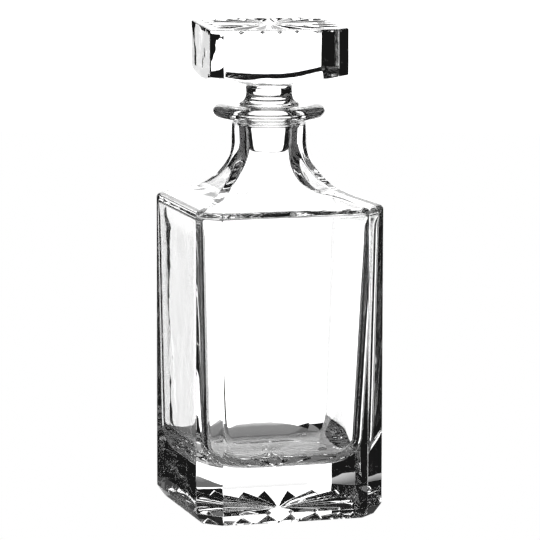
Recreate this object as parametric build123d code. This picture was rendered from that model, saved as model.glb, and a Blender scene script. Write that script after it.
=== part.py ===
from build123d import *
import math
import os

# Square cut-glass decanter with a lift-out stopper, in millimetres.
# Origin: centre of the resting face, on the axis of the neck. +Z up, front face towards -Y.

os.makedirs("parts", exist_ok=True)

# Outside of the decanter
BODY_HALF = 45.0          # axis to each flat side
CORNER_LEG = 10.15        # 45 degree corner cut, measured along a side
BEVEL_IN = 3.4            # bevel round the foot, inwards
BEVEL_UP = 5.3            # bevel round the foot, upwards
SHOULDER_Z = 145.4        # where the shoulder slope would meet the sides
SHOULDER_SLOPE = 18.0     # degrees below level, leaving the sides
SHOULDER_EDGE_R = 2.5     # rounded edge between side and shoulder
ARRIS_R = 0.7             # fire-polished upright edges
NECK_R = 17.6
NECK_Z = 172.5            # the shoulder runs upright into the neck here
NECK_BLEND_R = 14.0       # turned blend that rounds the panels off into the neck

# Lip ring
LIP_R = 26.3
LIP_UNDER_Z = 183.0
LIP_EDGE_Z = 187.2        # height of the widest point
LIP_EDGE_R = 2.9
LIP_SEAT_Z = 190.0        # ring the stopper's collar rests on
LIP_CREST_Z = 190.9
LIP_CREST_R = 20.5
LIP_SEAT_R = 15.2
TOP_Z = 200.0             # any height above the lip, for cutting through it

# Inside of the decanter
FLOOR_Z = 24.4            # thick solid base
FLOOR_FILLET_R = 13.0
FLOOR_RISE = 0.4          # the floor is domed up a little in its middle
CAVITY_HALF_LOW = 36.0
CAVITY_HALF_TOP = 41.0
CAVITY_LEG = 4.7          # corner cut of the cavity, measured along a side
CAVITY_TOP_Z = 142.4      # where the cavity's slope would meet its sides
CAVITY_EDGE_R = 2.5
BORE_R_LOW = 10.55        # at NECK_Z
BORE_R_MOUTH = 11.25      # at the seat

# Stopper
PLUG_GAP = 0.08           # radial gap between plug and bore at the mouth
PLUG_LOW_Z = 167.6
PLUG_LOW_R = 9.3          # the plug tapers more than the bore and seats near its top
PLUG_EDGE_R = 2.6
COLLAR_R = 14.0
COLLAR_EDGE = 0.9         # thickness of the collar's rim
SEAT_GAP = 0.05
WAIST_R = 10.8
WAIST_LOW_Z = 195.6
HEAD_HALF = 32.3
HEAD_LEG = 5.8
HEAD_TOP_Z = 227.6
HEAD_UNDER_Z = 198.9      # lowest point of the domed underside, on the axis
HEAD_UNDER_R = 128.0      # radius of that dome
HEAD_EDGE_R = 0.8
HEAD_TURN = -6.0          # degrees about the neck, as the stopper stands at rest

# Star cuts
STAR_RAYS = 20
STAR_HUB_R = 1.4
BASE_STAR_HALF = 39.6     # the rays stop on a square of this half size
BASE_STAR_MAX_R = 46.5
BASE_STAR_DEPTH = 4.2
FOOT_HOLLOW = 2.4         # the foot is dished by this much in its middle
FOOT_HOLLOW_R = 60.0      # where the dish would reach the resting plane
FOOT_RIM = 1.0            # flat rim the decanter stands on
HEAD_STAR_HALF = 29.6
HEAD_STAR_MAX_R = 36.0
HEAD_STAR_DEPTH = 2.4
RAY_WIDEST = 0.86         # widest point of a ray, as a share of its length
RAY_HALF_ANGLE = 8.0      # degrees, seen from the hub


def panel_outline(side, neck_r, slope, rounds):
    """Upright outline of two facing panels: side, sloping shoulder, hollow arc, neck.

    side lists (x, z) from the foot to where the slope starts; rounds maps z to a corner radius.
    """
    wall, top_z = side[-1]
    a = math.radians(slope)
    rise = NECK_Z - top_z - (wall - neck_r) * math.tan(a)
    r = rise / (math.cos(a) - (1 - math.sin(a)) * math.tan(a))
    mid = math.radians((90 - slope) / 2)
    arc_end = (neck_r + r * (1 - math.sin(a)), NECK_Z - r * math.cos(a))
    arc_mid = (neck_r + r * (1 - math.cos(mid)), NECK_Z - r * math.sin(mid))
    path = side + [arc_end]
    edges = [Line((-side[0][0], side[0][1]), side[0]), Line((-neck_r, TOP_Z), (neck_r, TOP_Z))]
    for s in (1, -1):
        edges += [Line((s * p[0], p[1]), (s * q[0], q[1])) for p, q in zip(path, path[1:])]
        edges.append(ThreePointArc((s * arc_end[0], arc_end[1]), (s * arc_mid[0], arc_mid[1]),
                                   (s * neck_r, NECK_Z)))
        edges.append(Line((s * neck_r, NECK_Z), (s * neck_r, TOP_Z)))
    face = make_face(edges)
    for z, radius in rounds.items():
        face = fillet([v for v in face.vertices() if abs(v.Y - z) < 1e-4], radius)
    return face


def across(face, angle):
    """Run an upright outline through the axis, then turn it about Z."""
    slab = extrude(Plane.XZ * face, 80, both=True)
    return Rot(0, 0, angle) * slab


def eight_panels(flat, diagonal):
    """Solid inside four pairs of facing panels."""
    solid = across(flat, 0) & across(flat, 90)
    return solid & across(diagonal, 45) & across(diagonal, -45)


def diagonal_of(half, leg):
    return (2 * half - leg) / math.sqrt(2)


def diagonal_slope(half, leg):
    """Slope that makes the corner panels reach the same height as the sides."""
    ratio = half / diagonal_of(half, leg)
    return math.degrees(math.atan(math.tan(math.radians(SHOULDER_SLOPE)) * ratio))


def turned(points):
    """Solid of revolution from a closed list of (radius, z) points."""
    return revolve(Plane.XZ * make_face(Polyline(points, close=True)), Axis.Z)


def foot_level(r):
    """Height of the dished foot at a distance from the axis."""
    return FOOT_HOLLOW * (1 - (r / FOOT_HOLLOW_R) ** 2)


def flat_level(r):
    return 0


def star_ray(length, depth, level):
    """One cut of a star: a kite-shaped pit along +X, its rim just below the face it is cut in."""
    rim = -0.02
    wide = STAR_HUB_R + (length - STAR_HUB_R) * RAY_WIDEST
    half = (wide - STAR_HUB_R) * math.tan(math.radians(RAY_HALF_ANGLE))
    wide_z = rim + level(wide)
    hub, tip = (STAR_HUB_R, 0, rim + level(STAR_HUB_R)), (length, 0, rim + level(length))
    left, right, keel = (wide, half, wide_z), (wide, -half, wide_z), (wide, 0, wide_z + depth)
    facets = [(hub, left, keel), (left, tip, keel), (tip, right, keel), (right, hub, keel),
              (hub, right, left), (left, right, tip)]
    return Solid(Shell([Face(Wire.make_polygon([Vector(*p) for p in f])) for f in facets]))


def star(half, max_r, depth, level):
    """Rays round the axis, each ending on a square with its corners taken off."""
    rays = []
    for i in range(STAR_RAYS):
        angle = 360 * i / STAR_RAYS
        a = math.radians(angle)
        length = min(half / max(abs(math.cos(a)), abs(math.sin(a))), max_r)
        rays.append(Rot(0, 0, angle) * star_ray(length, depth, level))
    return rays


def outer_glass():
    """Sides, corner cuts, foot bevel and shoulders, rounded off into the neck."""
    rounds = {SHOULDER_Z: SHOULDER_EDGE_R}
    d = diagonal_of(BODY_HALF, CORNER_LEG)
    flat = panel_outline([(BODY_HALF - BEVEL_IN, 0), (BODY_HALF, BEVEL_UP),
                          (BODY_HALF, SHOULDER_Z)], NECK_R, SHOULDER_SLOPE, rounds)
    diagonal = panel_outline([(d - BEVEL_IN, 0), (d, BEVEL_UP), (d, SHOULDER_Z)],
                             NECK_R, diagonal_slope(BODY_HALF, CORNER_LEG), rounds)
    glass = eight_panels(flat, diagonal)
    uprights = [e for e in glass.edges().filter_by(Axis.Z) if e.length > 50]
    glass = fillet(uprights, ARRIS_R)
    return glass & neck_blend()


def neck_blend():
    """Turned envelope that takes the corners off the panels where they become the neck."""
    low = (NECK_R + NECK_BLEND_R, NECK_Z - NECK_BLEND_R)
    outline = [Line((0, -1), (90, -1)), Line((90, -1), (90, low[1])), Line((90, low[1]), low),
               RadiusArc(low, (NECK_R, NECK_Z), NECK_BLEND_R),
               Line((NECK_R, NECK_Z), (NECK_R, LIP_EDGE_Z)),
               Line((NECK_R, LIP_EDGE_Z), (0, LIP_EDGE_Z)), Line((0, LIP_EDGE_Z), (0, -1))]
    return revolve(Plane.XZ * make_face(outline), Axis.Z)


def lip_ring():
    """Pressed ring with a full round edge and a gently domed top."""
    edge_x = LIP_R - LIP_EDGE_R
    root = (NECK_R, LIP_UNDER_Z - 2)
    inner = BORE_R_LOW - 2
    outline = [Line((inner, root[1]), root),
               Spline(root, (LIP_CREST_R, LIP_UNDER_Z + 0.4), (edge_x, LIP_EDGE_Z - LIP_EDGE_R),
                      tangents=[(0, 1), (1, 0.2)]),
               ThreePointArc((edge_x, LIP_EDGE_Z - LIP_EDGE_R), (LIP_R, LIP_EDGE_Z),
                             (edge_x, LIP_EDGE_Z + LIP_EDGE_R)),
               Spline((edge_x, LIP_EDGE_Z + LIP_EDGE_R), (LIP_CREST_R, LIP_CREST_Z),
                      (LIP_SEAT_R, LIP_SEAT_Z), tangents=[(-1, 0.2), (-1, 0)]),
               Line((LIP_SEAT_R, LIP_SEAT_Z), (inner, LIP_SEAT_Z)),
               Line((inner, LIP_SEAT_Z), (inner, root[1]))]
    return revolve(Plane.XZ * make_face(outline), Axis.Z)


def cap_ball(radius, rise):
    """Ball whose top is a dome of the given rise and radius, centred on the origin's level."""
    ball_r = (radius ** 2 + rise ** 2) / (2 * rise)
    return Pos(0, 0, rise - ball_r) * Sphere(ball_r)


def cavity():
    """Room for the drink: tapered walls, rounded and domed floor, shoulders, then the neck."""
    rounds = {FLOOR_Z: FLOOR_FILLET_R, CAVITY_TOP_Z: CAVITY_EDGE_R}
    low, top = (diagonal_of(h, CAVITY_LEG) for h in (CAVITY_HALF_LOW, CAVITY_HALF_TOP))
    flat = panel_outline([(CAVITY_HALF_LOW, FLOOR_Z), (CAVITY_HALF_TOP, CAVITY_TOP_Z)],
                         BORE_R_LOW, SHOULDER_SLOPE, rounds)
    diagonal = panel_outline([(low, FLOOR_Z), (top, CAVITY_TOP_Z)], BORE_R_LOW,
                             diagonal_slope(CAVITY_HALF_TOP, CAVITY_LEG), rounds)
    below_neck = Pos(0, 0, NECK_Z / 2) * Box(200, 200, NECK_Z)
    room = eight_panels(flat, diagonal) & below_neck
    return room - Pos(0, 0, FLOOR_Z) * cap_ball(CAVITY_HALF_LOW - FLOOR_FILLET_R, FLOOR_RISE)


def bore():
    """Tapered hole for the plug, with its mouth eased."""
    ease = 0.6
    return turned([(0, NECK_Z - 1), (BORE_R_LOW, NECK_Z - 1), (BORE_R_LOW, NECK_Z),
                   (BORE_R_MOUTH, LIP_SEAT_Z - ease), (BORE_R_MOUTH + ease, LIP_SEAT_Z),
                   (BORE_R_MOUTH + ease, TOP_Z), (0, TOP_Z)])


def foot_dish():
    """Shallow dish ground in the foot, inside its resting rim."""
    half = BODY_HALF - BEVEL_IN - FOOT_RIM
    corner = diagonal_of(BODY_HALF, CORNER_LEG) - BEVEL_IN - FOOT_RIM
    tall = 4 * FOOT_HOLLOW
    room = Box(2 * half, 2 * half, tall) & Rot(0, 0, 45) * Box(2 * corner, 2 * corner, tall)
    return room & cap_ball(FOOT_HOLLOW_R, FOOT_HOLLOW)


def decanter_body():
    """The whole lower piece: one thick pressed and blown glass."""
    glass = outer_glass() + lip_ring() - cavity() - bore()
    glass -= foot_dish()
    for ray in star(BASE_STAR_HALF, BASE_STAR_MAX_R, BASE_STAR_DEPTH, foot_level):
        glass -= ray
    return glass


def stopper_stem():
    """Tapered plug, collar with a thin rim, and waist, as one turned shape."""
    seat = LIP_SEAT_Z + SEAT_GAP
    top_r = BORE_R_MOUTH - PLUG_GAP
    edge_end = (PLUG_LOW_R, PLUG_LOW_Z + PLUG_EDGE_R)
    outline = [Line((0, PLUG_LOW_Z), (PLUG_LOW_R - PLUG_EDGE_R, PLUG_LOW_Z)),
               RadiusArc((PLUG_LOW_R - PLUG_EDGE_R, PLUG_LOW_Z), edge_end, -PLUG_EDGE_R),
               Line(edge_end, (top_r, seat)),
               Line((top_r, seat), (COLLAR_R, seat)),
               Line((COLLAR_R, seat), (COLLAR_R, seat + COLLAR_EDGE)),
               Spline((COLLAR_R, seat + COLLAR_EDGE), (WAIST_R, WAIST_LOW_Z),
                      tangents=[(-1, 0.45), (0, 1)]),
               Line((WAIST_R, WAIST_LOW_Z), (WAIST_R, HEAD_UNDER_Z + 2)),
               Line((WAIST_R, HEAD_UNDER_Z + 2), (0, HEAD_UNDER_Z + 2)),
               Line((0, HEAD_UNDER_Z + 2), (0, PLUG_LOW_Z))]
    return revolve(Plane.XZ * make_face(outline), Axis.Z)


def stopper_head():
    """Square block with its corners cut, domed below and star cut on top."""
    across_cut = 2 * diagonal_of(HEAD_HALF, HEAD_LEG)
    tall = HEAD_TOP_Z - HEAD_UNDER_Z
    middle = Pos(0, 0, HEAD_UNDER_Z + tall / 2)
    block = middle * Box(2 * HEAD_HALF, 2 * HEAD_HALF, tall)
    block &= middle * Rot(0, 0, 45) * Box(across_cut, across_cut, tall)
    block = fillet(block.edges().filter_by(Axis.Z), HEAD_EDGE_R)
    block = fillet(block.faces().sort_by(Axis.Z)[-1].edges(), HEAD_EDGE_R)
    block &= Pos(0, 0, HEAD_UNDER_Z + HEAD_UNDER_R) * Sphere(HEAD_UNDER_R)
    for ray in star(HEAD_STAR_HALF, HEAD_STAR_MAX_R, HEAD_STAR_DEPTH, flat_level):
        block -= Pos(0, 0, HEAD_TOP_Z) * Rot(180, 0, 0) * ray
    return block


def stopper():
    """The whole upper piece, turned a little about the neck as it stands."""
    return Rot(0, 0, HEAD_TURN) * (stopper_head() + stopper_stem())


for name, make in (("decanter_body", decanter_body), ("stopper", stopper)):
    solid = make()
    export_step(solid, f"parts/{name}.step")
    print(name, "volume", round(solid.volume), "mm3")
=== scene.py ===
# %% [markdown]
# # A cut-glass decanter
# The decanter is two pieces of clear glass: a thick square body and a block stopper that lifts out.
# Clear glass has no colour of its own to paint. All that the eye reads is what the surfaces do to the
# light, so this lesson spends its effort on the true shape of every surface, inside and outside, and
# on a studio made for glass: a bright field behind it and darkness on its other sides.
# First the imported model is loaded. It gives the frame, the bodies and the sizes.

# %% Load the frame
import bpy
import math
import numpy as np
from mathutils import Matrix, Vector, noise


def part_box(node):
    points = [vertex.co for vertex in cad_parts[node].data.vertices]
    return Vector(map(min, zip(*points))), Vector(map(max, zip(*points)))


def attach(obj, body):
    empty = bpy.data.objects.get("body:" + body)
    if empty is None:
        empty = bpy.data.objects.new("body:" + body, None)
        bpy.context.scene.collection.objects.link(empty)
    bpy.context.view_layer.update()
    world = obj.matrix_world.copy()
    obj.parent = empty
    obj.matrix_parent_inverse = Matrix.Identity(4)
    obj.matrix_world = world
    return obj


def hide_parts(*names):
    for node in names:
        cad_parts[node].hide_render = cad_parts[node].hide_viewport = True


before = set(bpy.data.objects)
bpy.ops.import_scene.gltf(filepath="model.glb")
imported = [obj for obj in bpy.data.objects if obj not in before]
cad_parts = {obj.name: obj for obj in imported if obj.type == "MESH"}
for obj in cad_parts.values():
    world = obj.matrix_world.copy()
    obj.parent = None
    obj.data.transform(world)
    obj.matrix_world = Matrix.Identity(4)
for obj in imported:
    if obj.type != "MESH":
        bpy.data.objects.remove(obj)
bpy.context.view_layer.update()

MM = 0.001
body_low, body_high = (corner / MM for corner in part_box("decanter_body"))
stop_low, stop_high = (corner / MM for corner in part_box("stopper"))
print("decanter", [round(x, 1) for x in body_high - body_low], "mm")
print("stopper", [round(x, 1) for x in stop_high - stop_low], "mm")

# %% [markdown]
# ## Plan outlines
# Every level of the decanter is an eight-sided outline: four flat sides and four corner cuts, with
# slightly soft edges from fire polishing. Towards the neck the same outline melts into a circle.
# All outlines have the same number of points, so that they can be joined ring to ring into one skin.

# %% Eight-sided rings that can turn into circles
SIDE_STEPS = 22
CUT_STEPS = 8
EDGE_STEPS = 9
RING = 4 * (SIDE_STEPS + CUT_STEPS + 2 * EDGE_STEPS)


def eight_sided(flat, cut, soft):
    """Outline with sides at distance flat, corner cuts at distance cut and edges of radius soft."""
    points = []
    for k in range(8):
        near, far = (flat, cut) if k % 2 == 0 else (cut, flat)
        steps = SIDE_STEPS if k % 2 == 0 else CUT_STEPS
        turn = math.radians(45 * k)
        reach = (far - near * math.cos(math.pi / 4)) / math.sin(math.pi / 4)
        run = reach - soft * math.tan(math.pi / 8)
        for i in range(steps):
            along = run * (2 * (i + 0.5) / steps - 1)
            points.append((near, along, turn))
        centre = (near - soft, reach - soft * math.tan(math.pi / 8))
        for i in range(EDGE_STEPS):
            a = math.pi / 4 * i / (EDGE_STEPS - 1)
            points.append((centre[0] + soft * math.cos(a), centre[1] + soft * math.sin(a), turn))
    x, y, t = np.array(points).T
    return np.stack([x * np.cos(t) - y * np.sin(t), x * np.sin(t) + y * np.cos(t)], 1)


def even_circle():
    """Unit circle whose points match those of eight_sided."""
    start = -SIDE_STEPS / 2 + 0.5
    a = (np.arange(RING) + start) * 2 * math.pi / RING
    return np.stack([np.cos(a), np.sin(a)], 1)


CIRCLE = even_circle()


def ring(flat, cut, soft, z, roundness=0.0):
    """One level of a skin: roundness 0 is eight-sided, 1 is a circle of radius flat."""
    plan = CIRCLE * flat
    if roundness < 1:
        plan = (1 - roundness) * eight_sided(flat, cut, soft) + roundness * plan
    return np.column_stack([plan, np.full(RING, float(z))])


def round_ring(radius, z):
    """One level of a skin that is a plain circle."""
    return ring(radius, radius, 0, z, 1.0)


print("points in a ring:", RING)

# %% [markdown]
# ## Upright profile of the panels
# The sides rise straight, turn over a small rounded edge into a shallow slope and then sweep up in
# a hollow arc into the neck. One function gives the distance of a panel from the axis at a height.
# The outside and the cavity use it with their own sizes, and so do the corner cuts.

# %% Panel profile
NECK_Z = 172.5
SLOPE = math.radians(18.0)


def panel(wall, neck, top_z, slope, edge):
    """Distance from the axis, as a function of height, of a panel from side to neck."""
    rise = NECK_Z - top_z - (wall - neck) * math.tan(slope)
    arc = rise / (math.cos(slope) - (1 - math.sin(slope)) * math.tan(slope))
    arc_start = NECK_Z - arc * math.cos(slope)
    edge_start = top_z - edge * (1 - math.sin(slope)) / math.cos(slope)
    edge_end = edge_start + edge * math.cos(slope)

    def distance(z):
        if z <= edge_start:
            return wall
        if z <= edge_end:
            return wall - edge + math.sqrt(edge ** 2 - (z - edge_start) ** 2)
        if z <= arc_start:
            return wall - (z - top_z) / math.tan(slope)
        if z <= NECK_Z:
            return neck + arc - math.sqrt(arc ** 2 - (NECK_Z - z) ** 2)
        return neck

    return distance, (edge_start, edge_end, arc_start)


def cut_distance(half, leg):
    """Distance of a corner cut from the axis, from the leg it takes off each side."""
    return (2 * half - leg) / math.sqrt(2)


def cut_slope(half, cut):
    """Slope that brings a corner cut to the same height as the sides."""
    return math.atan(math.tan(SLOPE) * half / cut)


def smooth(x):
    """Eases from 0 to 1."""
    x = min(1.0, max(0.0, x))
    return x * x * (3 - 2 * x)


def spread(a, b, steps):
    """Evenly spaced values after a, up to and with b."""
    return [a + (b - a) * i / steps for i in range(1, steps + 1)]


HALF = body_high.x
CORNER_LEG = 10.15
CUT = cut_distance(HALF, CORNER_LEG)
NECK_R = 17.6
NECK_TOP_Z = 180.2
SHOULDER_Z = 145.4
SHOULDER_EDGE = 2.5
side_at, side_marks = panel(HALF, NECK_R, SHOULDER_Z, SLOPE, SHOULDER_EDGE)
cut_at, _ = panel(CUT, NECK_R, SHOULDER_Z, cut_slope(HALF, CUT), SHOULDER_EDGE)
print("shoulder edge from", round(side_marks[0], 1), "to", round(side_marks[1], 1), "mm")

# %% [markdown]
# ## Outside skin
# The outside of the real decanter is pressed in a polished iron mould, so its sides are flat and
# its edges crisp but never knife sharp. The skin starts at the foot's resting rim, goes over the
# bevel and up the sides, and ends at the neck. Extra rings beside each edge keep the shading crisp.

# %% Foot, sides, shoulders and neck
BEVEL_IN, BEVEL_UP = 3.4, 5.3
RIM = 0.9
ARRIS = 0.7
ARRIS_SHOULDER = 0.7
ARRIS_NECK = 4.0
ROUND_FROM_Z = 156.0

# The rings that shape the bevel: how far each stands in from the sides, and its height.
FOOT_EDGE = ((BEVEL_IN + RIM, 0), (BEVEL_IN + 0.25, 0), (BEVEL_IN, 0.12), (BEVEL_IN - 0.18, 0.45))
BEVEL_EDGE = ((0.35, BEVEL_UP - 0.7), (0.08, BEVEL_UP - 0.15), (0.0, BEVEL_UP + 0.35))


def roundness_at(z):
    """How far the shoulders have melted from eight sides into the round neck."""
    return smooth((z - ROUND_FROM_Z) / (NECK_Z - ROUND_FROM_Z))


def outside_rings():
    rings = []
    for inset, z in FOOT_EDGE + BEVEL_EDGE:
        rings.append(ring(HALF - inset, CUT - inset, ARRIS, z))
    edge_start, edge_end, arc_start = side_marks
    levels = spread(BEVEL_UP + 1.5, edge_start - 1.2, 34) + [edge_start - 0.4]
    levels += spread(edge_start, edge_end, 7) + spread(edge_end, arc_start, 7)
    levels += [NECK_Z - (NECK_Z - arc_start) * math.cos(math.pi / 2 * i / 20) for i in range(1, 21)]
    for z in levels:
        flat, cut = side_at(z), cut_at(z)
        rise = smooth((z - edge_end) / (NECK_Z - edge_end))
        soft = ARRIS + ARRIS_SHOULDER * smooth((z - edge_start) / 3) + ARRIS_NECK * rise ** 2
        rings.append(ring(flat, cut, min(soft, 0.6 * flat), z, roundness_at(z)))
    rings += [round_ring(NECK_R, z) for z in spread(NECK_Z, NECK_TOP_Z, 3)]
    return rings


outside = outside_rings()
print("rings outside:", len(outside))

# %% [markdown]
# ## Lip
# The lip is a ring pressed round the mouth while the glass was soft: hollow below, full round at its
# rim and slightly domed on top, with a flat seat for the stopper's collar. Bezier curves through its
# few turning points give the section, which is then spun round the axis.

# %% Lip and mouth
LIP_R = 26.3
LIP_Z = 187.2
LIP_EDGE = 2.9
SEAT_Z = 190.0
SEAT_R = 15.2
MOUTH_R = 11.25
MOUTH_EASE = 0.9
BORE_R = 10.55


def bezier(start, handle_a, handle_b, end, steps):
    """Points along a Bezier curve in (radius, z), without its first point."""
    p = [np.array(q, float) for q in (start, handle_a, handle_b, end)]
    out = []
    for t in spread(0, 1, steps):
        s = 1 - t
        out.append(s ** 3 * p[0] + 3 * s * s * t * p[1] + 3 * s * t * t * p[2] + t ** 3 * p[3])
    return out


def lip_rings():
    rim = LIP_R - LIP_EDGE
    under = LIP_Z - LIP_EDGE
    over = LIP_Z + LIP_EDGE
    section = bezier((NECK_R, NECK_TOP_Z), (NECK_R, NECK_TOP_Z + 2.4), (NECK_R + 1.8, NECK_TOP_Z + 2.9),
                     (rim, under), 10)
    for i in range(1, 15):
        a = -math.pi / 2 + math.pi * i / 14
        section.append((rim + LIP_EDGE * math.cos(a), LIP_Z + LIP_EDGE * math.sin(a)))
    section += bezier((rim, over), (rim - 2.5, over + 1.0), (SEAT_R + 2.5, SEAT_Z), (SEAT_R, SEAT_Z), 10)
    section += [(x, SEAT_Z) for x in spread(SEAT_R, MOUTH_R + MOUTH_EASE, 4)]
    section += bezier((MOUTH_R + MOUTH_EASE, SEAT_Z), (MOUTH_R + 0.3, SEAT_Z), (MOUTH_R, SEAT_Z - 0.3),
                      (MOUTH_R, SEAT_Z - MOUTH_EASE), 5)
    return [round_ring(r, z) for r, z in section]


lip = lip_rings()
print("rings in the lip:", len(lip))

# %% [markdown]
# ## Inside skin
# The cavity is blown, so its walls are thicker towards the foot, its corners are wide and soft, it
# stands a little off centre and its skin is gently wavy. Each corner has its own radius, and the dark
# upright lines seen through the glass get their width from it. Under the shoulders the cavity takes
# over the eight-sided shape of the outside, so the glass there is even and bends the view little.
# The skin goes down the bore, out under the shoulders, down the walls and across the floor.

# %% Bore, cavity walls and floor
FLOOR_Z = 24.4
FLOOR_DOME = 0.4
FLOOR_EDGE = 13.0
LOW_HALF, TOP_HALF = 36.0, 41.4
CORNERS = (11.0, 9.5, 11.0, 11.0)
OFF_CENTRE = (-0.8, 0, 0)
CAVITY_TOP = 142.4
CAVITY_EDGE = 2.5
CAVITY_ARRIS = 2.0
CUT_GLASS = 2.6
BORE_RINGS = 9
STILL_RINGS = BORE_RINGS + 3
WALL_WAVES = dict(seed=3.0, amount=0.03, length=17.0)
in_side, in_marks = panel(TOP_HALF, BORE_R, CAVITY_TOP, SLOPE, CAVITY_EDGE)
IN_CUT = CUT - CUT_GLASS
in_cut, _ = panel(IN_CUT, BORE_R, CAVITY_TOP, cut_slope(TOP_HALF, IN_CUT), CAVITY_EDGE)


def rounded_square(half, corners):
    """Outline with a radius for each corner, from the one between +X and +Y on."""
    points = []
    arc = CUT_STEPS + 2 * EDGE_STEPS
    for k in range(4):
        turn = math.radians(90 * k)
        low, high = corners[k - 1] - half, half - corners[k]
        points += [(half, low + (high - low) * (i + 0.5) / SIDE_STEPS, turn) for i in range(SIDE_STEPS)]
        for i in range(arc):
            a = math.pi / 2 * (i + 0.5) / arc
            points.append((high + corners[k] * math.cos(a), high + corners[k] * math.sin(a), turn))
    x, y, t = np.array(points).T
    return np.stack([x * np.cos(t) - y * np.sin(t), x * np.sin(t) + y * np.cos(t)], 1)


def inner_ring(half, z):
    """One level of the cavity's walls."""
    return np.column_stack([rounded_square(half, CORNERS), np.full(RING, float(z))]) + OFF_CENTRE


def taper_at(z):
    """How far the cavity's wall has drawn in below its top."""
    return max(0.0, (CAVITY_TOP - z) / (CAVITY_TOP - FLOOR_Z) * (TOP_HALF - LOW_HALF))


def inside_rings():
    """Bore, then shoulders that blend into the walls, then the floor's fillet and its low dome."""
    mouth_z = SEAT_Z - MOUTH_EASE
    rings = [round_ring(MOUTH_R + (BORE_R - MOUTH_R) * t, mouth_z + (NECK_Z - mouth_z) * t)
             for t in spread(0, 1, BORE_RINGS)]
    edge_start, edge_end, arc_start = in_marks
    levels = [NECK_Z - (NECK_Z - arc_start) * math.sin(math.pi / 2 * i / 20) for i in range(1, 21)]
    levels += spread(arc_start, edge_end, 6) + spread(edge_end, edge_start, 8)
    levels += spread(edge_start, FLOOR_Z + FLOOR_EDGE, 34)
    for z in levels:
        wall = inner_ring(in_side(z) - taper_at(z), z)
        soft = CAVITY_ARRIS * (1 + smooth((z - 150) / 20))
        shoulder = ring(in_side(z), in_cut(z), soft, z, roundness_at(z))
        blend = smooth((z - edge_start + 5) / 6)
        rings.append((1 - blend) * wall + blend * shoulder)
    low_half = in_side(FLOOR_Z + FLOOR_EDGE) - taper_at(FLOOR_Z + FLOOR_EDGE)
    for i in range(1, 11):
        a = math.pi / 2 * i / 10
        inset = FLOOR_EDGE * (1 - math.cos(a))
        z = FLOOR_Z + FLOOR_EDGE * (1 - math.sin(a))
        rings.append(inner_ring(low_half - inset, z))
    edge = inner_ring(low_half - FLOOR_EDGE, FLOOR_Z)
    for share in spread(1, 0.06, 14):
        rings.append(edge * (share, share, 1) + (0, 0, FLOOR_DOME * (1 - share ** 2)))
    return rings


# Vector noise starts from the clock unless it is seeded, and the glass has to come out the same each time.
noise.seed_set(5)


def waves(rings, seed, amount, length):
    """Moves the points of a skin a little, as blown glass sags in its mould."""
    offset = Vector((seed, 2.3 * seed, 5.1 * seed))
    out = []
    for points in rings:
        moved = points.copy()
        for i, p in enumerate(points):
            sway = noise.noise_vector(Vector(p) / length + offset)
            moved[i] = p + amount * np.array(sway)
        out.append(moved)
    return out


inside = inside_rings()
inside = inside[:STILL_RINGS] + waves(inside[STILL_RINGS:], **WALL_WAVES)
print("rings inside:", len(inside))

# %% [markdown]
# ## Star cut
# A star is cut with a wheel that has a mitred edge: each ray is a V-shaped groove that starts thin at
# the hub, gets wider and deeper outwards and closes in a point. It catches light under the base and
# on top of the stopper. It is built on rings too, with each ray's keel and edges on their own points,
# so that the facets stay true, and every ray is a hair different, as hand work is.

# %% Star disc
RAYS = 20
SECTOR = math.pi / RAYS
HUB = 1.4
WIDEST = 0.86
RAY_ANGLE = math.radians(8.0)

# Where the points lie across a ray (keel at 0, edges at 1 and -1, the land between rays beyond) and
# along it (hub at 0, tip at 1).
ACROSS = (-1.55, -1.12, -1.0, -0.9, -0.5, -0.06, 0.0, 0.06, 0.5, 0.9, 1.0, 1.12, 1.55, 2.0)
ALONG = (0.0, 0.08, 0.2, 0.35, 0.5, 0.65, 0.76, 0.83, 0.86, 0.89, 0.93, 0.97, 1.0)


def ray_length(angle, half, most):
    """The rays stop on a square whose corners are taken off."""
    return min(half / max(abs(math.cos(angle)), abs(math.sin(angle))), most)


def groove_at(t):
    """Width and depth of a ray along its length, as a share of its widest."""
    return t / WIDEST if t < WIDEST else (1 - t) / (1 - WIDEST)


def star_rings(half, most, depth, seed):
    """Rings of (x, y, depth below the face), from the hub outwards."""
    random = np.random.default_rng(seed)
    lengths = [ray_length(2 * SECTOR * k, half, most) * random.uniform(0.975, 1.02) for k in range(RAYS)]
    depths = depth * random.uniform(0.9, 1.08, RAYS)
    lean = random.uniform(-0.012, 0.012, RAYS)
    rings = []
    for t in ALONG:
        groove = groove_at(t)
        points = []
        for k in range(RAYS):
            middle = 2 * SECTOR * k + lean[k]
            for s in ACROSS:
                beside = lengths[(k + 1) % RAYS if s > 0 else k - 1]
                land = max(0.0, abs(s) - 1)
                length = lengths[k] * (1 - land / 2) + beside * land / 2
                r = HUB + (length - HUB) * t
                widest = (lengths[k] - HUB) * WIDEST * math.tan(RAY_ANGLE)
                width = max(widest * groove, 0.11 + 0.2 * t)
                edge = math.atan(width / r)
                side = int(np.sign(s))
                border = SECTOR + side * (lean[(k + side) % RAYS] - lean[k]) / 2
                a = edge * min(1.0, abs(s)) + (border - edge) * land
                below = depths[k] * groove * max(0.0, 1 - max(abs(s), 0.035))
                a = middle + math.copysign(a, s)
                points.append((r * math.cos(a), r * math.sin(a), below))
        rings.append(np.array(points))
    return rings


print("rays:", RAYS, "with", len(ALONG) * len(ACROSS), "points in each")

# %% [markdown]
# ## From rings to one closed skin
# The rings are stitched with quads. Between the star's disc and the outline round it a zip of
# triangles closes the skin: flat on top of the stopper, and a narrow slope inside the foot's rim.

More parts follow.
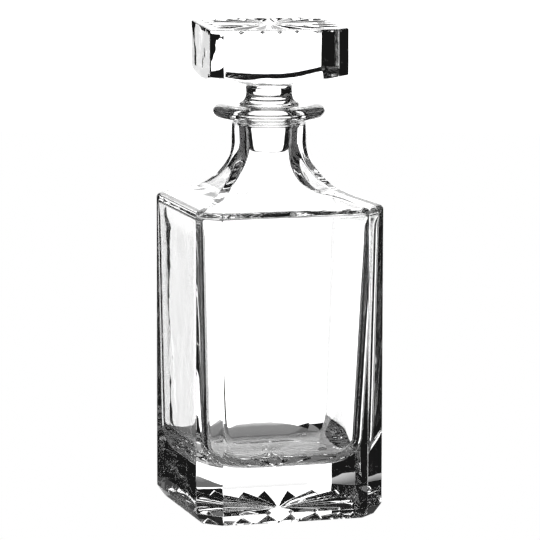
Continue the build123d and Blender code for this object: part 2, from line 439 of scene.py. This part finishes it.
# %% Skin builder
class Skin:
    """Collects vertices and faces in millimetres, then makes one closed mesh object in metres."""

    def __init__(self):
        self.vertices = []
        self.faces = []

    def add_ring(self, points):
        first = len(self.vertices)
        self.vertices += [tuple(p) for p in points]
        return list(range(first, first + len(points)))

    def stitch(self, a, b):
        n = len(a)
        self.faces += [(a[i], a[(i + 1) % n], b[(i + 1) % n], b[i]) for i in range(n)]

    def loft(self, rings):
        loops = [self.add_ring(r) for r in rings]
        for a, b in zip(loops, loops[1:]):
            self.stitch(a, b)
        return loops

    def cap(self, loop, z):
        centre = np.mean([self.vertices[i][:2] for i in loop], axis=0)
        self.vertices.append((centre[0], centre[1], z))
        last = len(self.vertices) - 1
        self.faces += [(loop[i], loop[(i + 1) % len(loop)], last) for i in range(len(loop))]

    def zip_loops(self, inner, outer):
        """Triangles between two loops that go round the axis the same way."""
        def sorted_loop(loop):
            angle = [math.atan2(self.vertices[i][1], self.vertices[i][0]) for i in loop]
            order = sorted(range(len(loop)), key=lambda j: angle[j])
            return [loop[j] for j in order], [angle[j] for j in order]

        a, a_angle = sorted_loop(inner)
        b, b_angle = sorted_loop(outer)
        i = j = 0
        while i < len(a) or j < len(b):
            next_a = a_angle[(i + 1) % len(a)] + 2 * math.pi * ((i + 1) // len(a))
            next_b = b_angle[(j + 1) % len(b)] + 2 * math.pi * ((j + 1) // len(b))
            if j >= len(b) or (i < len(a) and next_a <= next_b):
                self.faces.append((a[i % len(a)], a[(i + 1) % len(a)], b[j % len(b)]))
                i += 1
            else:
                self.faces.append((a[i % len(a)], b[(j + 1) % len(b)], b[j % len(b)]))
                j += 1

    def make(self, name):
        mesh = bpy.data.meshes.new(name)
        mesh.from_pydata([tuple(MM * c for c in v) for v in self.vertices], [], self.faces)
        mesh.validate()
        face_outwards(mesh)
        mesh.polygons.foreach_set("use_smooth", [True] * len(mesh.polygons))
        piece = bpy.data.objects.new(name, mesh)
        bpy.context.scene.collection.objects.link(piece)
        print(name, len(mesh.vertices), "vertices,", len(mesh.polygons), "faces")
        return piece


def face_outwards(mesh):
    """Turns all faces of a closed mesh to face out."""
    import bmesh
    work = bmesh.new()
    work.from_mesh(mesh)
    bmesh.ops.recalc_face_normals(work, faces=work.faces)
    open_edges = sum(1 for e in work.edges if len(e.link_faces) != 2)
    volume = work.calc_volume(signed=True)
    if volume < 0:
        bmesh.ops.reverse_faces(work, faces=work.faces)
    print(mesh.name, "open edges:", open_edges, "volume:", round(abs(volume) / MM ** 3 / 1000, 1), "ml")
    work.to_mesh(mesh)
    work.free()


print("the skin builder is ready")

# %% [markdown]
# ## The decanter
# The foot is ground a little hollow, so the decanter stands on a narrow rim and the star cut in the
# hollow never touches the table. The star, the outside, the lip and the inside are joined into one
# closed skin of glass, which is what lets light bend truly on its way in and out.

# %% Decanter
BASE_STAR = dict(half=39.6, most=46.5, depth=4.2, seed=7)
HOLLOW = 2.4
HOLLOW_R = 60.0
HUB_PIT = 0.05


def hollow(points):
    """Height of the hollow foot above the table at the points of a ring."""
    r2 = points[:, 0] ** 2 + points[:, 1] ** 2
    return np.maximum(0, HOLLOW * (1 - r2 / HOLLOW_R ** 2))


def make_decanter():
    skin = Skin()
    star = [r + np.column_stack([0 * r[:, :2], hollow(r)]) for r in star_rings(**BASE_STAR)]
    star_loops = skin.loft(star)
    skin.cap(star_loops[0], HOLLOW + HUB_PIT)
    loops = skin.loft(outside + lip + inside)
    skin.zip_loops(star_loops[-1], loops[0])
    skin.cap(loops[-1], FLOOR_Z + FLOOR_DOME)
    return skin.make("decanter_glass")


decanter = make_decanter()
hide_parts("decanter_body")
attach(decanter, "decanter")

# %% [markdown]
# ## Stopper
# The stopper is one solid block. Its plug is ground to a taper, a thin-rimmed collar sits on the
# lip, and a short waist carries the head: a square with its corners cut, domed below, star cut above.

# %% Stopper rings
HEAD_HALF = 32.3
HEAD_CUT = cut_distance(HEAD_HALF, 5.8)
HEAD_TOP = stop_high.z
HEAD_UNDER = 198.9
DOME_R = 128.0
PLUG_LOW = stop_low.z
PLUG_TOP_R = MOUTH_R - 0.08
PLUG_LOW_R = 9.3
WAIST_R = 10.8
WAIST_LOW_Z = 195.8
WAIST_TOP_Z = 199.42
COLLAR_R = 14.0
COLLAR_Z = SEAT_Z + 0.05
HEAD_TURN = math.radians(-6.0)
HEAD_EDGE = 0.8
HEAD_ARRIS = 0.5
HEAD_STAR = dict(half=29.6, most=36.0, depth=2.4, seed=19)
HEAD_WAVES = dict(seed=11.0, amount=0.12, length=14.0)
COLLAR_EDGE = 0.4
PLUG_STEM = 3.2
WAIST_FLARE = 1.4


def dome(points):
    """Lays points on the domed underside."""
    r2 = points[:, 0] ** 2 + points[:, 1] ** 2
    out = points.copy()
    out[:, 2] = HEAD_UNDER + DOME_R - np.sqrt(DOME_R ** 2 - r2)
    return out


def plug_section():
    """Half section of the plug: a domed foot, a rounded edge, then a straight taper."""
    low, stem_z = PLUG_LOW_R, PLUG_LOW + PLUG_STEM
    section = [(x, PLUG_LOW + 0.8 * (x / low) ** 2) for x in spread(0.6, low - 2.5, 8)]
    section += bezier(section[-1], (low - 1.2, PLUG_LOW + 0.85), (low, PLUG_LOW + 1.6), (low, stem_z), 9)
    return section + [(low + (PLUG_TOP_R - low) * t, stem_z + (COLLAR_Z - 0.3 - stem_z) * t)
                      for t in spread(0, 1, 10)]


def stem_rings():
    section = plug_section()
    root, rim = PLUG_TOP_R + COLLAR_EDGE, COLLAR_R - COLLAR_EDGE
    section += bezier((PLUG_TOP_R, COLLAR_Z - 0.3), (PLUG_TOP_R, COLLAR_Z), (PLUG_TOP_R + 0.1, COLLAR_Z),
                      (root, COLLAR_Z), 3)
    section += [(x, COLLAR_Z) for x in spread(root, rim, 4)]
    section += bezier((rim, COLLAR_Z), (COLLAR_R, COLLAR_Z), (COLLAR_R + 0.1, COLLAR_Z + 0.8),
                      (rim, COLLAR_Z + 1.0), 5)
    section += bezier((rim, COLLAR_Z + 1.0), (COLLAR_R - 2.2, COLLAR_Z + 1.8),
                      (WAIST_R, COLLAR_Z + 3.4), (WAIST_R, WAIST_LOW_Z), 10)
    section += bezier((WAIST_R, WAIST_LOW_Z), (WAIST_R, WAIST_LOW_Z + 2.8),
                      (WAIST_R + 0.2, WAIST_TOP_Z - 0.22), (WAIST_R + WAIST_FLARE, WAIST_TOP_Z), 8)
    return [round_ring(r, z) for r, z in section]


def head_ring(inset, z):
    """One level of the block, drawn in by inset; z is one height or one for each point."""
    points = ring(HEAD_HALF - inset, HEAD_CUT - inset, HEAD_ARRIS, 0)
    points[:, 2] = z
    return points


def head_rings():
    rings = []
    start = WAIST_R + WAIST_FLARE
    for t in spread(0, 1, 12):
        flat = start + (HEAD_HALF - HEAD_EDGE - start) * t
        cut = flat + (HEAD_CUT - HEAD_HALF) * smooth(t)
        rings.append(dome(ring(flat, cut, 0.25 + (1 - t) * 6, 0, 1 - smooth(t * 1.25))))
    foot = dome(ring(HEAD_HALF, HEAD_CUT, HEAD_EDGE, 0))[:, 2]
    for a in spread(0, math.pi / 2, 4):
        rings.append(head_ring(HEAD_EDGE * (1 - math.sin(a)), foot + HEAD_EDGE * (0.75 - math.cos(a))))
    side_low = rings[-1][:, 2]
    side_high = HEAD_TOP - HEAD_EDGE
    for t in spread(0, 1, 8):
        rings.append(head_ring(0, side_low + (side_high - side_low) * t))
    for a in spread(0, math.pi / 2, 5):
        rings.append(head_ring(HEAD_EDGE * (1 - math.cos(a)), side_high + HEAD_EDGE * math.sin(a)))
    return rings


def turned(points):
    """Turns points about the neck to the way the stopper stands."""
    c, s = math.cos(HEAD_TURN), math.sin(HEAD_TURN)
    x, y, z = points.T
    return np.column_stack([x * c - y * s, x * s + y * c, z])


def make_stopper():
    skin = Skin()
    loops = skin.loft([turned(r) for r in stem_rings() + waves(head_rings(), **HEAD_WAVES)])
    skin.cap(loops[0], PLUG_LOW)
    star = [turned(r * (1, 1, -1) + (0, 0, HEAD_TOP)) for r in star_rings(**HEAD_STAR)]
    star_loops = skin.loft(star)
    skin.cap(star_loops[0], HEAD_TOP - HUB_PIT)
    skin.zip_loops(star_loops[-1], loops[-1])
    return skin.make("stopper_glass")


stopper = make_stopper()
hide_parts("stopper")
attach(stopper, "stopper")

# %% [markdown]
# ## Glass
# Lead-free crystal is a soda glass with barium or zinc in it: clear, without the green of window
# glass, with an index of refraction of about 1.52. Fire polishing leaves it perfectly smooth, so its
# roughness is nought, but not perfectly flat: the last waves are 7 to 9 mm long and a few hundredths
# of a millimetre deep, and a bump of noise at that scale makes them.

# %% Materials
def linear(hex_colour):
    """sRGB hex to the linear values that the shader works in."""
    out = []
    for i in (1, 3, 5):
        c = int(hex_colour[i:i + 2], 16) / 255
        out.append(c / 12.92 if c <= 0.04045 else ((c + 0.055) / 1.055) ** 2.4)
    return (*out, 1.0)


def add(tree, kind, inputs=None, links=None, **settings):
    """Adds a node with its settings, socket values and incoming links."""
    node = tree.nodes.new(kind)
    for name, value in settings.items():
        setattr(node, name, value)
    for name, value in (inputs or {}).items():
        node.inputs[name].default_value = value
    for name, socket in (links or {}).items():
        tree.links.new(socket, node.inputs[name])
    return node


def new_material(name):
    material = bpy.data.materials.new(name)
    material.use_nodes = True
    material.node_tree.nodes.clear()
    return material, material.node_tree


GLASS_IOR = 1.52
WAVE_DEPTH = 0.1
WAVE_SHARE = 0.25


def crystal_glass(name, wave_mm):
    """Clear polished glass whose surface waves are wave_mm long."""
    material, tree = new_material(name)
    place = add(tree, "ShaderNodeTexCoord")
    wave = add(tree, "ShaderNodeTexNoise", {"Scale": 1 / (wave_mm * MM), "Detail": 1.0},
               {"Vector": place.outputs["Object"]})
    bump = add(tree, "ShaderNodeBump", {"Strength": WAVE_SHARE, "Distance": WAVE_DEPTH * MM},
               {"Height": wave.outputs["Fac"]})
    glass = add(tree, "ShaderNodeBsdfPrincipled", {
        "Base Color": linear("#FFFFFF"), "Roughness": 0.0, "IOR": GLASS_IOR, "Transmission Weight": 1.0},
        {"Normal": bump.outputs["Normal"]})
    add(tree, "ShaderNodeOutputMaterial", links={"Surface": glass.outputs["BSDF"]})
    return material


decanter.data.materials.append(crystal_glass("fire_polished_crystal_body", 9.0))
stopper.data.materials.append(crystal_glass("fire_polished_crystal_stopper", 7.0))
print("glass with an index of", GLASS_IOR, "on", len(decanter.data.materials) + len(stopper.data.materials),
      "pieces")

# %% [markdown]
# ## Camera
# A long lens from a little above, the way glassware is shown: uprights stay upright.

# %% Camera
AZIMUTH = math.radians(-16.48)
ELEVATION = math.radians(8.59)
DISTANCE = 1.930
FOCAL = 274.7
AIM_Z = 0.1119
AIM_RIGHT = 0.00063
ROLL = math.radians(0.13)
SENSOR = 36.0
CENTRE_Z = 0.115
SIGHT_END = 20


def make_camera():
    data = bpy.data.cameras.new("long_lens")
    data.lens = FOCAL
    data.sensor_width = SENSOR
    data.clip_end = SIGHT_END
    camera = bpy.data.objects.new("camera", data)
    bpy.context.scene.collection.objects.link(camera)
    back = Vector((math.sin(AZIMUTH) * math.cos(ELEVATION), -math.cos(AZIMUTH) * math.cos(ELEVATION),
                   math.sin(ELEVATION)))
    right = Vector((math.cos(AZIMUTH), math.sin(AZIMUTH), 0))
    camera.location = Vector((0, 0, CENTRE_Z)) + back * DISTANCE
    aim = Vector((0, 0, AIM_Z)) + right * AIM_RIGHT
    camera.rotation_mode = "QUATERNION"
    look = (aim - camera.location).to_track_quat("-Z", "Y")
    camera.rotation_quaternion = look @ Matrix.Rotation(ROLL, 3, "Z").to_quaternion()
    bpy.context.scene.camera = camera
    return camera


camera = make_camera()
print("camera at", [round(x, 3) for x in camera.location], "m")

# %% [markdown]
# ## Bright field
# Clear glass is lit with a bright field: a white screen right behind it and dark surroundings, so
# that the faces are bright and every edge, which bends the view far to the side, draws itself dark.
# The outline of the screen decides how thick those dark lines are. It hangs on the camera stand, so
# each view round the decanter gets the same light. Its sides are given as the angles that a view may
# be bent by and still land on it, and it is wider on the right in its lower part.

# %% Screen
SCREEN_BEHIND = 1.5
SCREEN_LIGHT = 1.8
SCREEN_LEFT, SCREEN_RIGHT, SCREEN_RIGHT_LOW = -22, 25, 32
SCREEN_BOTTOM, SCREEN_TOP = -32, 62
STEP_LOW, STEP_HIGH = 0.05, 0.12


def glowing(name, colour, strength):
    """A surface that gives even light."""
    material, tree = new_material(name)
    glow = add(tree, "ShaderNodeEmission", {"Color": linear(colour), "Strength": strength})
    add(tree, "ShaderNodeOutputMaterial", links={"Surface": glow.outputs["Emission"]})
    return material


def flat_card(name, corners, material, place=(0, 0, 0), stand=None):
    """A flat card with corners in x and y, held at a place, on a stand if there is one."""
    mesh = bpy.data.meshes.new(name)
    mesh.from_pydata([(x, y, 0) for x, y in corners], [], [tuple(range(len(corners)))])
    mesh.materials.append(material)
    item = bpy.data.objects.new(name, mesh)
    bpy.context.scene.collection.objects.link(item)
    item.parent = stand
    item.location = place
    return item


def slant(degrees):
    """How far out on the screen a view bent by that angle lands."""
    return SCREEN_BEHIND * math.tan(math.radians(degrees))


left, right, right_low = slant(SCREEN_LEFT), slant(SCREEN_RIGHT), slant(SCREEN_RIGHT_LOW)
bottom, top = slant(SCREEN_BOTTOM), slant(SCREEN_TOP)
flat_card("screen", [(left, bottom), (right_low, bottom), (right_low, STEP_LOW), (right, STEP_HIGH),
                     (right, top), (left, top)],
          glowing("white_screen", "#FFFFFF", SCREEN_LIGHT), (0, 0, -DISTANCE - SCREEN_BEHIND), camera)
print("screen", round(right_low - left, 2), "m wide and", round(top - bottom, 2), "m high")

# %% [markdown]
# ## Table
# The decanter stands on a pale floor. The glass itself looks through its base at the table close
# by, which is a glossy sheet. At a glance along it, it mirrors the white screen. Straight down it
# shows painted light, a dim grey glow from the sheet itself. It is darkest in front, painted shade for the
# decanter's own shadow, and gets lighter behind, a painted pool of the screen's light. So the floor is for
# the eye and the sheet for the glass.

# %% Floor and glossy sheet
FLOOR_HALF = 6
FLOOR_DROP = 0.0005
SHEET_DROP = 0.0003
SHEET_IOR = 1.6
SHEET_ROUGHNESS = 0.04
# Glow strengths along y: painted shade under the front of the decanter, painted light behind it.
PAINTED_SHADE_Y, PAINTED_SHADE_GLOW = (-0.050, -0.040), (0.02, 0.16)
PAINTED_LIGHT_Y, PAINTED_LIGHT_GLOW = (0.080, 0.092), (0.0, 0.45)
SHEET = ((-0.06, -0.06), (0.05, -0.06), (0.05, 0.05), (0.03, 0.094), (-0.06, 0.075))

floor_corners = [(-FLOOR_HALF, -FLOOR_HALF), (FLOOR_HALF, -FLOOR_HALF), (FLOOR_HALF, FLOOR_HALF),
                 (-FLOOR_HALF, FLOOR_HALF)]
floor = flat_card("floor", floor_corners, glowing("pale_floor", "#FFFFFF", 1.0), (0, 0, -FLOOR_DROP))
floor.visible_transmission = False
floor.visible_glossy = False


def painted_light_along(tree, axes, reach, light):
    """Painted light that grows from one value to another over a reach of the sheet, front to back."""
    return add(tree, "ShaderNodeMapRange", {"From Min": reach[0], "From Max": reach[1],
                                            "To Min": light[0], "To Max": light[1]},
               {"Value": axes.outputs["Y"]})


def glossy_sheet_with_painted_light():
    """A glossy black sheet that glows with painted light: painted shade in front, a painted pool of light
    at the back.
    """
    material, tree = new_material("glossy_sheet_painted_light")
    place = add(tree, "ShaderNodeTexCoord")
    axes = add(tree, "ShaderNodeSeparateXYZ", links={"Vector": place.outputs["Object"]})
    # Painted shade in front and a painted pool of light behind, added into the sheet's glow.
    under = painted_light_along(tree, axes, PAINTED_SHADE_Y, PAINTED_SHADE_GLOW)
    painted_light_behind = painted_light_along(tree, axes, PAINTED_LIGHT_Y, PAINTED_LIGHT_GLOW)
    painted_glow = add(tree, "ShaderNodeMath", links={0: under.outputs["Result"], 1: painted_light_behind.outputs["Result"]},
               operation="ADD")
    # The sheet's emission is painted light and shade, not a lamp.
    gloss = add(tree, "ShaderNodeBsdfPrincipled", {
        "Base Color": linear("#000000"), "Roughness": SHEET_ROUGHNESS, "IOR": SHEET_IOR,
        "Emission Color": linear("#FFFFFF")}, {"Emission Strength": painted_glow.outputs["Value"]})
    add(tree, "ShaderNodeOutputMaterial", links={"Surface": gloss.outputs["BSDF"]})
    return material


sheet = flat_card("sheet_painted_light", SHEET, glossy_sheet_with_painted_light(), (0, 0, -SHEET_DROP))
sheet.visible_camera = False
print("floor", 2 * FLOOR_HALF, "m square, sheet with", len(SHEET), "corners")

# %% [markdown]
# ## Dark surroundings and light paths
# Everything that isn't screen or table is nearly black, which is what makes the dark lines in the
# glass. Light crosses many surfaces on its way through two thick pieces, so it is allowed many steps.

# %% Surroundings and light paths
BOUNCES = 40
GLOSSY_BOUNCES = 24
world = bpy.data.worlds.new("dark_studio")
bpy.context.scene.world = world
world.use_nodes = True
world.node_tree.nodes["Background"].inputs["Color"].default_value = linear("#181818")
world.node_tree.nodes["Background"].inputs["Strength"].default_value = 1.0

scene = bpy.context.scene
scene.view_settings.view_transform = "Standard"
scene.cycles.max_bounces = BOUNCES
scene.cycles.transmission_bounces = BOUNCES
scene.cycles.glossy_bounces = GLOSSY_BOUNCES
scene.cycles.transparent_max_bounces = 16
scene.cycles.blur_glossy = 0.0
print("light may take", BOUNCES, "steps")
